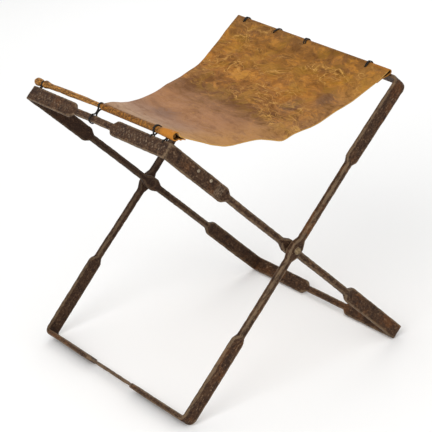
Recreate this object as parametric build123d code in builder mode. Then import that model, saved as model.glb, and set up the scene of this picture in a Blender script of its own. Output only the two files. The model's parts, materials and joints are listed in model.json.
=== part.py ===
"""Folding stool: two nested wrought iron frames that cross at riveted pivots, and a leather sling seat.

Millimetres. X runs across the stool, Y along the pivot axis with the front at -Y, and Z is up from the floor.
The outer frame leans towards +X at the top and the inner frame towards -X. Each frame is drawn in its own plane,
whose x runs along Y, whose y runs along the legs, and whose z points up out of the frame towards the seat.
"""

import os
from math import acos, atan2, copysign, cos, degrees, hypot, radians, sin

from build123d import *

os.makedirs("parts", exist_ok=True)

# Stance
inner_lean = 44.5  # the inner frame's angle from upright
foot_wear = 1.5  # how far the floor has worn into the lowest edge of each frame

# Inner frame: lengths from the pivot axis, and how far each corner stands out beyond the legs' line
inner_upper = 306.0
inner_lower = 318.0
inner_plate_width = 26.0
inner_leans = (0.0, 0.0, 9.0, 0.0)  # floor front, floor back, top back, top front
inner_corner_radius = 5.0
inner_window_radius = 2.0
inner_floor_depth = 6.8

# Outer frame: half the span between its leg centres, and a back leg that is longer above the pivot, so that
# the top rail climbs towards the back
outer_upper = 321.0
outer_lower = 321.0
outer_half = 213.5
outer_plate_width = 26.4
outer_rail_climb = 16.0
outer_leans = (-3.0, 0.0, 3.5, 0.0)  # floor back, floor front, top front, top back
outer_corner_radius = 14.0
outer_window_radius = 4.5
outer_floor_depth = 8.5

# Forged sections
plate_depth = 6.0
plate_edge = 1.0
bar_width = 12.0
bar_depth = 11.0
bar_edge = 2.0
rail_bar_depth = 5.6
neck_depth = 3.4
shoulder_length = 12.0
shoulder_shape = ((0.0, 0.0), (0.35, 0.42), (0.7, 0.86), (1.0, 1.0))  # shares of the length and of the growth
leg_bar_reach = 162.0
inner_top_bar_span = (-44.0, 64.0)
inner_floor_bar_span = (-62.0, 43.0)
outer_top_bar_span = (-54.0, 54.0)
outer_floor_bar_span = (-54.0, 64.0)
neck_length = 16.0

# Pivots
boss_gap = 4.0
boss_width = 23.0
boss_flat = 7.0
boss_reach = 20.0
rivet_radius = 4.0
rivet_head_radius = 6.4
rivet_head_height = 3.4
rivet_flare = 1.6
rivet_dimple_radius = 1.1
washer_radius = 8.2
washer_height = 1.6
spacer_radius = 8.5
pivot_clearance = 0.06
side_clearance = 0.2
seat_clearance = 0.02

# Decoration of the inner frame
punch_radius = 1.3
punch_depth = 0.6
punch_pitch = 8.0
punch_swing = 4.2
groove_radius = 0.9
groove_depth = 0.5
groove_pitch = 4.2
groove_count = 4
stud_head_radius = 3.0
stud_head_height = 1.3
stud_shank_radius = 1.5
stud_places = (240.0, 209.5)
stud_offset = 5.0

# Seat stick on the inner frame and hem rod on the outer one
stick_lift = 24.4
stick_overhang = 20.5
stick_front_inset = 7.5
stick_radius = 4.4
stick_seat_radius = 3.5
stick_inset = 1.0
knob_radius = 5.6
end_knob_length = 24.5
second_knob_length = 19.0
knob_groove_radius = 3.2
knob_groove_length = 3.0
rod_radius = 2.5
rod_gap = 0.4
rod_inset = 3.0

# Leather
leather = 1.8
hem_play = 0.3
seat_inner_inset = 1.5
seat_inner_back = 6.0
seat_outer_inset = 7.5
seat_outer_overhang = 11.5
seat_drops_front = (33.5, 44.0, 55.0, 47.0, 28.0)
seat_drops_back = (25.0, 37.0, 38.0, 38.0, 21.0)
seat_trim = 5.0

# Wire ties
wire_radius = 1.1
wire_play = 0.35
wire_slack = 1.6
wire_rise = 6.0
hole_gap = 0.25
tie_hole_depth = 4.2
bare_tie_gap = 6.0
stick_tie_insets = (51.5, 18.5)
hem_back_tie_inset = 17.5
hem_middle_ties = (98.0, 22.0)
hem_front_tie_inset = 66.5

# What follows from the sizes above
inner_half = outer_half - bar_depth - boss_gap
inner_edge = hypot(inner_lower + plate_depth / 2, inner_plate_width / 2)
inner_edge_angle = degrees(atan2(inner_plate_width / 2, inner_lower + plate_depth / 2))
pivot_height = inner_edge * cos(radians(inner_lean - inner_edge_angle)) - foot_wear
outer_edge = hypot(outer_lower + plate_depth / 2, outer_plate_width / 2)
outer_edge_angle = degrees(atan2(outer_plate_width / 2, outer_lower + plate_depth / 2))
outer_lean = outer_edge_angle + degrees(acos((pivot_height + foot_wear) / outer_edge))
inner_plane = Plane(
    origin=(0, 0, pivot_height),
    x_dir=(0, 1, 0),
    z_dir=(cos(radians(inner_lean)), 0, sin(radians(inner_lean))),
)
outer_plane = Plane(
    origin=(0, 0, pivot_height),
    x_dir=(0, -1, 0),
    z_dir=(-cos(radians(outer_lean)), 0, sin(radians(outer_lean))),
)
rail_slope = outer_rail_climb / (2 * outer_half)
inner_boss_face = inner_half + bar_depth / 2
outer_boss_face = outer_half - bar_depth / 2
rivet_seat = outer_half + bar_depth / 2 + washer_height
hem_inner_radius = stick_seat_radius + hem_play + leather
hem_outer_radius = rod_radius + hem_play + leather
rod_lift = outer_plate_width / 2 + rod_gap + hem_outer_radius
stick_back = inner_half + stick_overhang
stick_front = stick_front_inset - inner_half
seat_inner_span = (seat_inner_inset - inner_half, seat_inner_back)
seat_outer_span = (seat_outer_inset - outer_half, outer_half + seat_outer_overhang)
stick_hem_ties = [inset - inner_half for inset in stick_tie_insets]
hem_tie_places = (outer_half - hem_back_tie_inset, *hem_middle_ties, hem_front_tie_inset - outer_half)
knob_tie = stick_back - end_knob_length - knob_groove_length / 2
stick_tie_places = (knob_tie, seat_inner_back + bare_tie_gap, *stick_hem_ties)


def outer_rail_reach(y):
    """Distance from the pivot axis to the middle of the outer frame's top rail at the place y."""
    return outer_upper + (y + outer_half) * rail_slope


def section(place, width, depth, edge):
    """A forged section: a rectangle with its corners hammered flat."""
    with BuildSketch(place) as profile:
        Rectangle(width, depth)
        chamfer(profile.vertices(), edge)
    return profile.sketch


def along(frame_plane, start, end, distance):
    """The plane across a straight run from start to end, the distance from the start."""
    run = (Vector(*end) - Vector(*start)).normalized()
    origin = frame_plane.from_local_coords(Vector(*start) + run * distance)
    ahead = frame_plane.from_local_coords(run) - frame_plane.origin
    return Plane(origin=origin, x_dir=frame_plane.z_dir, z_dir=ahead)


def shoulder(place, ahead, slim, full):
    """Sections of a rounded shoulder from the slim size at the place to the full one, ahead (1) or behind (-1)."""
    return [
        (place + ahead * share * shoulder_length, *[s + (f - s) * growth for s, f in zip(slim, full)])
        for share, growth in shoulder_shape
    ]


def leg_stations(plate_width):
    """Sections of one leg between its plates, measured from the pivot: shoulders, bars and the boss."""
    plate = (plate_width, plate_depth, plate_edge)
    bar = (bar_width, bar_depth, bar_edge)
    boss = (boss_width, bar_depth, plate_edge)
    half = [(boss_flat, *boss), (boss_reach, *bar), *shoulder(leg_bar_reach, 1, bar, plate)]
    return [(-s, *size) for s, *size in reversed(half)] + half


def rail_stations(plate_width, depth, low, high):
    """Sections of one rail between its plates: shoulders, thin necks and a thicker middle."""
    plate = (plate_width, depth, plate_edge)
    neck = (bar_width, neck_depth, plate_edge)
    middle = (bar_width, rail_bar_depth, plate_edge)
    return [
        *reversed(shoulder(low, -1, neck, plate)),
        (low + neck_length, *middle),
        (high - neck_length, *middle),
        *shoulder(high, 1, neck, plate),
    ]


def frame_outline(half, floor, top_low, top_high, leans):
    """Corners of an outline: half its width, its floor side and the ends of its top side at local -x and +x.

    leans are how far the corners stand out beyond the legs' line, from the floor at local -x on round the frame.
    A leg bends at its shoulder, where its plate starts.
    """
    corners = []
    ends = ((-half, floor), (half, floor), (half, top_high), (-half, top_low))
    for i, ((x, y), lean) in enumerate(zip(ends, leans)):
        shoulder_end = (x, copysign(leg_bar_reach + shoulder_length, y))
        corner = (x + copysign(lean, x * lean), y)
        if not lean:
            corners.append(corner)
        elif i % 2:
            corners += [corner, shoulder_end]
        else:
            corners += [shoulder_end, corner]
    return corners


def forged_frame(frame_plane, half, lower, tops, leans, radii, plate_width, floor_depth, top_span, floor_span):
    """One bar bent to a closed rectangle, with plates at its corners and slimmer bars between them.

    tops are the top rail's distances from the pivot at local -x and +x, and leans move the corners. The radii
    are those of the corners outside and in the window. The spans are the ends of each rail's slim bar in local x,
    and floor_depth is how thick the floor rail's plates are.
    """
    bend = plate_depth / 2
    low, high = tops
    rim = frame_outline(half + bend, -lower - bend, low + bend, high + bend, leans)
    opening = frame_outline(half - bend, floor_depth - lower - bend, low - bend, high - bend, leans)
    floor_middle = floor_depth / 2 - lower - bend
    runs = [
        ((-half, 0), (-half, 1), leg_stations(plate_width)),
        ((half, 0), (half, 1), leg_stations(plate_width)),
        ((0, floor_middle), (1, floor_middle), rail_stations(plate_width, floor_depth, *floor_span)),
        ((0, (low + high) / 2), (half, high), rail_stations(plate_width, plate_depth, *top_span)),
    ]
    with BuildPart() as frame:
        with BuildSketch(frame_plane.offset(-plate_width / 2)):
            with BuildLine():
                FilletPolyline(*rim, radius=radii[0], close=True)
            make_face()
            with BuildLine():
                FilletPolyline(*opening, radius=radii[1], close=True)
            make_face(mode=Mode.SUBTRACT)
        extrude(amount=plate_width)
        faces_out = frame.faces().sort_by(Axis(frame_plane.origin, frame_plane.z_dir))
        chamfer(faces_out[-1].edges() + faces_out[0].edges(), plate_edge)
        for start, end, stations in runs:
            length = stations[-1][0] - stations[0][0]
            with BuildSketch(along(frame_plane, start, end, stations[0][0])):
                Rectangle(2 * plate_width, 2 * floor_depth)
            extrude(amount=length, mode=Mode.SUBTRACT)
        for start, end, stations in runs:
            slices = [section(along(frame_plane, start, end, s), *size) for s, *size in stations]
            loft(slices, ruled=True)
        split(bisect_by=Plane.XY, keep=Keep.TOP)
    return frame


def bore(frame, half, radius):
    """The frame with a hole of the radius through both of its bosses."""
    with BuildPart() as bored:
        add(frame)
        with BuildSketch(Plane.XZ.offset(-half - bar_depth)):
            with Locations((0, pivot_height)):
                Circle(radius)
        extrude(amount=2 * (half + bar_depth), mode=Mode.SUBTRACT)
    return bored


def axis_plane(side, distance):
    """A plane across the pivot axis at the distance from the middle, facing out on the side (-1 front, 1 back)."""
    return Plane(origin=(0, side * distance, pivot_height), x_dir=(1, 0, 0), z_dir=(0, side, 0))


def rivet_profile_points():
    """Outline of a rivet, from its flared inner end to the rim of its head, as (radius, distance from the middle)."""
    flare_radius = rivet_radius + rivet_flare
    start = inner_half - bar_depth / 2
    return [
        (0, start),
        (flare_radius, start),
        (rivet_radius, start + rivet_flare),
        (rivet_radius, rivet_seat),
        (rivet_head_radius, rivet_seat),
    ]


def pivot_rivet(side):
    """A rivet along the pivot axis, domed outside and flared flush on the inside."""
    place = Plane(origin=(0, 0, pivot_height), x_dir=(1, 0, 0), z_dir=(0, 0, side))
    crown = rivet_seat + rivet_head_height
    dome_shoulder = (rivet_head_radius * 0.72, rivet_seat + rivet_head_height * 0.78)
    with BuildPart() as rivet:
        with BuildSketch(place):
            with BuildLine():
                outline = Polyline(*rivet_profile_points())
                ThreePointArc(outline @ 1, dome_shoulder, (0, crown))
                Line((0, crown), outline @ 0)
            make_face()
        revolve(axis=Axis((0, 0, pivot_height), (0, 1, 0)))
        with Locations(axis_plane(side, crown + rivet_dimple_radius / 3)):
            Sphere(rivet_dimple_radius, mode=Mode.SUBTRACT)
    return rivet


def ring(side, start, height, radius):
    """A flat ring on the pivot rivet, from the start outwards."""
    with BuildPart() as piece:
        with BuildSketch(axis_plane(side, start)):
            Circle(radius)
            Circle(rivet_radius + seat_clearance, mode=Mode.SUBTRACT)
        extrude(amount=height)
    return piece


def flare_seats(frame):
    """The inner frame with a cone at each boss for the rivet's flared end."""
    start = inner_half - bar_depth / 2
    flare = rivet_flare + pivot_clearance
    with BuildPart() as seated:
        add(frame)
        for side in (-1, 1):
            with BuildSketch(axis_plane(side, start)):
                Circle(rivet_radius + flare)
            with BuildSketch(axis_plane(side, start + flare)):
                Circle(rivet_radius)
            loft(mode=Mode.SUBTRACT)
    return seated


def punched_places(low, high):
    """Places of the punch marks on a top plate between two values of y: a zigzag with a row inside it."""
    count = int((high - low) / punch_pitch)
    start = (low + high - (count - 1) * punch_pitch) / 2
    swing = [((start + i * punch_pitch), punch_swing * (-1) ** i) for i in range(count)]
    between = [(y + punch_pitch / 2, 0) for y, _ in swing[:-1]]
    return swing + between


def decorate(frame):
    """The inner frame with punch marks on its top plates and file cuts above its front leg's shoulder."""
    plate_end = inner_half - inner_corner_radius
    low, high = inner_top_bar_span
    marks = punched_places(high + shoulder_length, plate_end)
    marks += punched_places(-plate_end, low - shoulder_length)
    top = inner_upper + plate_depth / 2 + punch_radius - punch_depth
    outside = -inner_half - plate_depth / 2 - groove_radius + groove_depth
    first_groove = leg_bar_reach + shoulder_length + groove_pitch
    with BuildPart() as decorated:
        add(frame)
        with Locations(*[inner_plane.from_local_coords((y, top, n)) for y, n in marks]):
            Sphere(punch_radius, mode=Mode.SUBTRACT)
        for i in range(groove_count):
            start = (outside, first_groove + i * groove_pitch, -inner_plate_width / 4)
            place = Plane(
                origin=inner_plane.from_local_coords(start),
                x_dir=(0, 1, 0),
                z_dir=inner_plane.z_dir,
            )
            with BuildSketch(place):
                Circle(groove_radius)
            extrude(amount=inner_plate_width / 2, mode=Mode.SUBTRACT)
        for l in stud_places:
            place = Plane(
                origin=inner_plane.from_local_coords((-inner_half, l, stud_offset)),
                x_dir=(1, 0, 0),
                z_dir=(0, -1, 0),
            )
            with BuildSketch(place.offset(-plate_depth)):
                Circle(stud_shank_radius + seat_clearance)
            extrude(amount=2 * plate_depth, mode=Mode.SUBTRACT)
    return decorated


def on_bar(y, bar_span):
    """Whether the place y lies on a rail's slim bar or its shoulders, clear of the plates."""
    low, high = bar_span
    return low - shoulder_length < y < high + shoulder_length


def tie_holes(frame, frame_plane, ties, plate_width, bar_span):
    """The frame with a small hole under its top rail's upper edge for each tie that sits on a plate."""
    with BuildPart() as drilled:
        add(frame)
        for y, reach in ties:
            if on_bar(y, bar_span):
                continue
            n = plate_width / 2 - tie_hole_depth
            start = (y * frame_plane.x_dir.Y, reach - plate_depth, n)
            place = Plane(
                origin=frame_plane.from_local_coords(start),
                x_dir=(0, 1, 0),
                z_dir=frame_plane.y_dir,
            )
            with BuildSketch(place):
                Circle(wire_radius + wire_play)
            extrude(amount=2 * plate_depth, mode=Mode.SUBTRACT)
    return drilled


def wire_tie(frame_plane, y, reach, bottom, top, half_width):
    """A closed loop of wire across a rail at y, from the bottom to the top out of the frame's plane."""
    tall = (top - bottom) / 2
    place = Plane(
        origin=frame_plane.from_local_coords((y * frame_plane.x_dir.Y, reach, (bottom + top) / 2)),
        x_dir=frame_plane.y_dir,
        z_dir=frame_plane.y_dir.cross(frame_plane.z_dir),
    )
    corners = [(-half_width, -tall), (half_width, -tall), (half_width, tall), (-half_width, tall)]
    bend = half_width - hole_gap - (plate_depth + wire_slack) / 2
    with BuildPart() as tie:
        with BuildLine(place) as loop:
            FilletPolyline(*corners, radius=bend, close=True)
        path = loop.wire()
        with BuildSketch(Plane(origin=path @ 0, z_dir=path % 0)):
            Circle(wire_radius)
        sweep(path=path)
    return tie


def tie_passage(frame_plane, y, reach, bottom, top, half_width):
    """The hole that a tie's inner side takes through the leather."""
    start = frame_plane.from_local_coords((y * frame_plane.x_dir.Y, reach - half_width, bottom))
    with BuildPart() as passage:
        with BuildSketch(Plane(origin=start, x_dir=frame_plane.x_dir, z_dir=frame_plane.z_dir)):
            Circle(wire_radius + wire_play)
        extrude(amount=top - bottom)
    return passage.part


def tie_bottom(y, plate_width, bar_span):
    """The lowest point of a tie's centre line: under a slim bar, or in its hole in a plate."""
    if on_bar(y, bar_span):
        return -bar_width / 2 - wire_play - wire_radius
    return plate_width / 2 - tie_hole_depth


def stick_tie_place(y):
    """Plane, y, reach, bottom, top and half width of the tie between the seat stick and the inner frame at y."""
    through_leather = y < seat_inner_span[1]
    inside = hem_inner_radius if through_leather else stick_seat_radius
    rise = wire_rise if through_leather else 0
    half_width = max(inside, plate_depth / 2 + wire_slack) + wire_play + wire_radius + hole_gap
    bottom = tie_bottom(y, inner_plate_width, inner_top_bar_span)
    top = stick_lift + inside + rise + wire_play + wire_radius
    return inner_plane, y, inner_upper, bottom, top, half_width


def hem_tie_place(y):
    """Plane, y, reach, bottom, top and half width of the tie between the hem rod and the outer frame at y."""
    half_width = max(hem_outer_radius, plate_depth / 2 + wire_slack) + wire_play + wire_radius + hole_gap
    bottom = tie_bottom(y, outer_plate_width, outer_top_bar_span)
    top = rod_lift + hem_outer_radius + wire_rise + wire_play + wire_radius
    return outer_plane, y, outer_rail_reach(y), bottom, top, half_width


def stick_outline():
    """Half outline of the seat stick, as (radius, y) from its back end to its front end."""
    groove_back = stick_back - end_knob_length
    second_back = groove_back - knob_groove_length
    second_front = second_back - second_knob_length
    seat_start = seat_inner_span[1] + stick_inset
    return [
        (0, stick_back),
        (knob_radius * 0.6, stick_back),
        (knob_radius, stick_back - end_knob_length * 0.3),
        (knob_radius, stick_back - end_knob_length * 0.7),
        (knob_groove_radius, groove_back),
        (knob_groove_radius, second_back),
        (knob_radius, second_back - second_knob_length * 0.3),
        (stick_radius, second_front),
        (stick_seat_radius, seat_start),
        (stick_seat_radius, stick_front),
        (0, stick_front),
    ]


def stick_centre():
    """The stick's axis where it crosses y = 0."""
    return inner_plane.from_local_coords((0, inner_upper, stick_lift))


def rod_point(y):
    """The hem rod's axis at the place y."""
    return outer_plane.from_local_coords((-y, outer_rail_reach(y), rod_lift))


def seat_strip(y, drops):
    """The sling's section across the stool at y, hung from the top of one hem to the other.

    drops are how far it hangs under the straight line between them, at even steps.
    """
    stick = stick_centre()
    rod = rod_point(y)
    start = Vector(stick.X, stick.Z + stick_seat_radius)
    end = Vector(rod.X, rod.Z + rod_radius)
    steps = len(drops) + 1
    lower = [start + (end - start) * (i / steps) - Vector(0, drop) for i, drop in enumerate((0, *drops, 0))]
    lower[-1] = end
    upper = [point + Vector(0, leather) for point in reversed(lower)]
    with BuildSketch(Plane.XZ.offset(-y)) as strip:
        with BuildLine():
            Spline(*lower)
            Line(lower[-1], upper[0])
            Spline(*upper)
            Line(upper[-1], lower[0])
        make_face()
    return strip.sketch


def slant_cutter(inner_y, outer_y, away):
    """A block that trims the sling along the line from its corner at the stick to its corner at the hem rod."""
    stick = stick_centre()
    rod = rod_point(outer_y)
    margin = 60.0
    slope = (outer_y - inner_y) / (rod.X - stick.X)
    left = (stick.X - margin, inner_y - margin * slope)
    right = (rod.X + margin, outer_y + margin * slope)
    far = away * 6 * margin
    with BuildPart() as cutter:
        with BuildSketch(Plane.XY.offset(pivot_height)):
            with BuildLine():
                Polyline(left, right, (right[0], outer_y + far), (left[0], outer_y + far), close=True)
            make_face()
        extrude(amount=inner_upper + outer_upper)
    return cutter.part


def rod_plane(y):
    """The plane across the hem rod at the place y, facing the back."""
    return Plane(origin=rod_point(y), x_dir=(1, 0, 0), z_dir=rod_point(y + 1) - rod_point(y))


with BuildPart() as inner_frame:
    blank = forged_frame(
        inner_plane,
        inner_half,
        inner_lower,
        (inner_upper, inner_upper),
        inner_leans,
        (inner_corner_radius, inner_window_radius),
        inner_plate_width,
        inner_floor_depth,
        inner_top_bar_span,
        inner_floor_bar_span,
    )
    bored = bore(blank.part, inner_half, rivet_radius + pivot_clearance)
    marked = decorate(flare_seats(bored.part).part)
    ties = [(y, inner_upper) for y in stick_tie_places]
    add(tie_holes(marked.part, inner_plane, ties, inner_plate_width, inner_top_bar_span).part)

with BuildPart() as outer_frame:
    blank = forged_frame(
        outer_plane,
        outer_half,
        outer_lower,
        (outer_rail_reach(outer_half), outer_rail_reach(-outer_half)),
        outer_leans,
        (outer_corner_radius, outer_window_radius),
        outer_plate_width,
        outer_floor_depth,
        sorted(-y for y in outer_top_bar_span),
        sorted(-y for y in outer_floor_bar_span),
    )
    bored = bore(blank.part, outer_half, rivet_radius + seat_clearance)
    ties = [(y, outer_rail_reach(y)) for y in hem_tie_places]
    add(tie_holes(bored.part, outer_plane, ties, outer_plate_width, outer_top_bar_span).part)

with BuildPart() as plate_studs:
    for l in stud_places:
        place = Plane(
            origin=inner_plane.from_local_coords((-inner_half - plate_depth / 2, l, stud_offset)),
            x_dir=(1, 0, 0),
            z_dir=(0, -1, 0),
        )
        with BuildSketch(place.offset(-plate_depth)):
            Circle(stud_shank_radius)
        extrude(amount=plate_depth)
        with BuildSketch(place):
            Circle(stud_head_radius)
        extrude(amount=stud_head_height, taper=30)

with BuildPart() as seat_stick:
    with BuildSketch(Plane(origin=stick_centre(), x_dir=(1, 0, 0), z_dir=(0, 0, 1))):
        with BuildLine():
            Polyline(*stick_outline(), close=True)
        make_face()
    revolve(axis=Axis(stick_centre(), (0, 1, 0)))

with BuildPart() as hem_rod:
    rod_start = seat_outer_span[0] + rod_inset
    rod_end = seat_outer_span[1] - rod_inset
    with BuildSketch(rod_plane(rod_start)):
        Circle(rod_radius)
    extrude(amount=(rod_point(rod_end) - rod_point(rod_start)).length)

with BuildPart() as seat_leather:
    front = seat_outer_span[0] - seat_trim
    back = seat_outer_span[1] + seat_trim
    loft([seat_strip(front, seat_drops_front), seat_strip(back, seat_drops_back)], ruled=True)
    add(slant_cutter(seat_inner_span[0], seat_outer_span[0], -1), mode=Mode.SUBTRACT)
    add(slant_cutter(seat_inner_span[1], seat_outer_span[1], 1), mode=Mode.SUBTRACT)
    for y in stick_hem_ties:
        add(tie_passage(*stick_tie_place(y)), mode=Mode.SUBTRACT)
    for y in hem_tie_places:
        add(tie_passage(*hem_tie_place(y)), mode=Mode.SUBTRACT)
    stick = stick_centre()
    stick_end = Plane.XZ.offset(-seat_inner_span[1])
    stick_hem = seat_inner_span[1] - seat_inner_span[0]
    hem_start = rod_plane(seat_outer_span[0])
    rod_hem = (rod_point(seat_outer_span[1]) - rod_point(seat_outer_span[0])).length
    with BuildSketch(stick_end):
        with Locations((stick.X, stick.Z)):
            Circle(hem_inner_radius)
    extrude(amount=stick_hem)
    with BuildSketch(hem_start):
        Circle(hem_outer_radius)
    extrude(amount=rod_hem)
    with BuildSketch(stick_end.offset(-seat_trim)):
        with Locations((stick.X, stick.Z)):
            Circle(stick_seat_radius + hem_play)
    extrude(amount=stick_hem + 2 * seat_trim, mode=Mode.SUBTRACT)
    with BuildSketch(hem_start.offset(-seat_trim)):
        Circle(rod_radius + hem_play)
    extrude(amount=rod_hem + 2 * seat_trim, mode=Mode.SUBTRACT)

pieces = {
    "outer_frame": outer_frame,
    "inner_frame": inner_frame,
    "plate_studs": plate_studs,
    "seat_stick": seat_stick,
    "hem_rod": hem_rod,
    "seat_leather": seat_leather,
}
for side, end in ((-1, "front"), (1, "back")):
    pieces[f"pivot_rivet_{end}"] = pivot_rivet(side)
    pieces[f"rivet_washer_{end}"] = ring(side, rivet_seat - washer_height, washer_height, washer_radius)
    spacer_start = inner_boss_face + side_clearance
    pieces[f"boss_spacer_{end}"] = ring(side, spacer_start, outer_boss_face - spacer_start, spacer_radius)
for i, y in enumerate(stick_tie_places):
    pieces[f"stick_tie_{i + 1}"] = wire_tie(*stick_tie_place(y))
for i, y in enumerate(hem_tie_places):
    pieces[f"hem_tie_{i + 1}"] = wire_tie(*hem_tie_place(y))

# The origin is on the floor, under the middle of the stool's box.
boxes = [piece.part.bounding_box() for piece in pieces.values()]
middle_x = (min(box.min.X for box in boxes) + max(box.max.X for box in boxes)) / 2
middle_y = (min(box.min.Y for box in boxes) + max(box.max.Y for box in boxes)) / 2
stand = Location((-middle_x, -middle_y, 0))
for label, piece in pieces.items():
    placed = piece.part.moved(stand)
    placed.label = label
    export_step(placed, f"parts/{label}.step")

print(f"pivot axis at x {-middle_x:.3f}, z {pivot_height:.3f}; middle of the pivots at y {-middle_y:.3f}")
print(f"lean of the outer frame {outer_lean:.3f}, fold angle between the frames {inner_lean + outer_lean:.3f}")
print(f"top z {max(box.max.Z for box in boxes):.2f}, lowest z {min(box.min.Z for box in boxes):.4f}")
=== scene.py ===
import bpy
import bmesh
import json
from math import cos, pi, radians, sin
from mathutils import Matrix, Vector, noise

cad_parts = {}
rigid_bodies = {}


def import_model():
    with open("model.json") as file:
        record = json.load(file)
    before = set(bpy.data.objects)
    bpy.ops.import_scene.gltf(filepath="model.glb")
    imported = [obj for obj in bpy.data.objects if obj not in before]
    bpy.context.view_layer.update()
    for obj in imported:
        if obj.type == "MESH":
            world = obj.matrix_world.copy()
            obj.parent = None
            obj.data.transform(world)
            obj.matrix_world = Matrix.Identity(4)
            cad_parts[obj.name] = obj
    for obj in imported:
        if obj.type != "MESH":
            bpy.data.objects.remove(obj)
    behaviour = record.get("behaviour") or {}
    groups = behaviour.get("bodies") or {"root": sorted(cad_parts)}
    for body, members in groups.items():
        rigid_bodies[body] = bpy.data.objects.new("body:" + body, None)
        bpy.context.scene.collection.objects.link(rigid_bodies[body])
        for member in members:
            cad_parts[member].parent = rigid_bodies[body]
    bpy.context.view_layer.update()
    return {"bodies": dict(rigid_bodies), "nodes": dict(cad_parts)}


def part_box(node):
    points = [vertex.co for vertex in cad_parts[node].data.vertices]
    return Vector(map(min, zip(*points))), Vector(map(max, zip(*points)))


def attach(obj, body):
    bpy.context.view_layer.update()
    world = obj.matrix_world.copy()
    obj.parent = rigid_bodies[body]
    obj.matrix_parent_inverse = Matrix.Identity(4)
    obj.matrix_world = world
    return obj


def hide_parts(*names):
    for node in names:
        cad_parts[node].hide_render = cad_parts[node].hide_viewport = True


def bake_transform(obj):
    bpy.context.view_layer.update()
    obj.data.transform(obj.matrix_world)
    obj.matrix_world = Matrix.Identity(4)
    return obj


# Folding stool: forged iron frames and a leather sling that is tied on with wire.
# Metres, with the floor at z = 0 and the front at -Y.

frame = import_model()
print("stage: frame loaded")

mm = 0.001


def boxMiddle(node):
    low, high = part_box(node)
    return (low + high) / 2


def between(a, b, share):
    return a + (b - a) * share


def clamped(value):
    return min(max(value, 0.0), 1.0)


def eased(value):
    value = clamped(value)
    return value * value * (3 - 2 * value)


def curveAt(points, x):
    # a smooth curve through (x, value) pairs
    last = len(points) - 1
    i = max(k for k in range(last) if k == 0 or points[k][0] <= x)
    (x1, v1), (x2, v2) = points[i], points[i + 1]
    x0, v0 = points[max(i - 1, 0)]
    x3, v3 = points[min(i + 2, last)]
    step = x2 - x1
    t = (x - x1) / step
    m1 = (v2 - v0) / (x2 - x0) * step
    m2 = (v3 - v1) / (x3 - x1) * step
    hold = (2 * t**3 - 3 * t**2 + 1) * v1 + (t**3 - 2 * t**2 + t) * m1
    return hold + (-2 * t**3 + 3 * t**2) * v2 + (t**3 - t**2) * m2


def sumNode(operation, flipped=False):
    # a method that puts a maths node on a strand
    def add(strand, *others):
        values = [*others, strand] if flipped else [strand, *others]
        return strand.recipe.node("ShaderNodeMath", {"operation": operation}, dict(enumerate(values)))

    return add


class Strand:
    # one value in a node tree, so that sums on it read as sums
    def __init__(self, recipe, socket):
        self.recipe, self.socket = recipe, socket

    __add__ = __radd__ = sumNode("ADD")
    __mul__ = __rmul__ = sumNode("MULTIPLY")
    __sub__, __rsub__ = sumNode("SUBTRACT"), sumNode("SUBTRACT", flipped=True)
    __truediv__, __rtruediv__ = sumNode("DIVIDE"), sumNode("DIVIDE", flipped=True)
    absolute, larger = sumNode("ABSOLUTE"), sumNode("MAXIMUM")

    def ramp(self, low, high, fromValue=0.0, toValue=1.0):
        # from one value at low to the other at high, smoothly, and level outside
        sockets = {0: self, 1: low, 2: high, 3: fromValue, 4: toValue}
        return self.recipe.node("ShaderNodeMapRange", {"interpolation_type": "SMOOTHSTEP"}, sockets)


class Recipe:
    # a node tree of a material or of geometry
    def __init__(self, tree):
        self.tree = tree

    def node(self, kind, settings, sockets, output=0):
        made = self.tree.nodes.new(kind)
        for name, value in settings.items():
            if name == "stops":
                while len(made.color_ramp.elements) < len(value):
                    made.color_ramp.elements.new(1.0)
                for element, (place, colour) in zip(made.color_ramp.elements, value):
                    element.position, element.color = place, (*colour, 1.0)
            else:
                setattr(made, name, value)
        for key, value in sockets.items():
            if isinstance(value, Strand):
                self.tree.links.new(value.socket, made.inputs[key])
            elif isinstance(value, tuple) and made.inputs[key].type == "RGBA":
                made.inputs[key].default_value = (*value, 1.0)
            else:
                made.inputs[key].default_value = value
        return Strand(self, made.outputs[output]) if made.outputs else None

    def mix(self, factor, a, b, blend="MIX"):
        settings = {"data_type": "RGBA", "blend_type": blend}
        return self.node("ShaderNodeMix", settings, {0: factor, 6: a, 7: b}, 2)

    def vector(self, operation, *values, output=0):
        return self.node("ShaderNodeVectorMath", {"operation": operation}, dict(enumerate(values)), output)

    def scaled(self, vector, factor):
        return self.node("ShaderNodeVectorMath", {"operation": "SCALE"}, {0: vector, "Scale": factor})

    def part(self, vector, letter):
        return self.node("ShaderNodeSeparateXYZ", {}, {0: vector}, letter)

    def joined(self, x=0.0, y=0.0, z=0.0):
        return self.node("ShaderNodeCombineXYZ", {}, {0: x, 1: y, 2: z})

    def moved(self, geometry, offset):
        return self.node("GeometryNodeSetPosition", {}, {0: geometry, "Offset": offset})

    def stretched(self, place, scale):
        return self.node("ShaderNodeMapping", {}, {"Vector": place, "Scale": scale})

    def objectPlace(self):
        return self.node("ShaderNodeTexCoord", {}, {}, "Object")

    def attribute(self, name):
        return self.node("ShaderNodeAttribute", {"attribute_name": name}, {}, "Fac")

    def noise(self, place, scale, detail=2.0, roughness=0.5, distortion=0.0, output=0):
        sockets = {"Vector": place, "Scale": scale, "Detail": detail, "Roughness": roughness}
        return self.node("ShaderNodeTexNoise", {}, {**sockets, "Distortion": distortion}, output)

    def wander(self, place, scale, detail, roughness):
        # a vector that wanders about zero
        return self.vector("SUBTRACT", self.noise(place, scale, detail, roughness, output=1), (0.5, 0.5, 0.5))


def newMaterial(name):
    material = bpy.data.materials.new(name)
    material.use_nodes = True
    material.node_tree.nodes.clear()
    return material, Recipe(material.node_tree)


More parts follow.
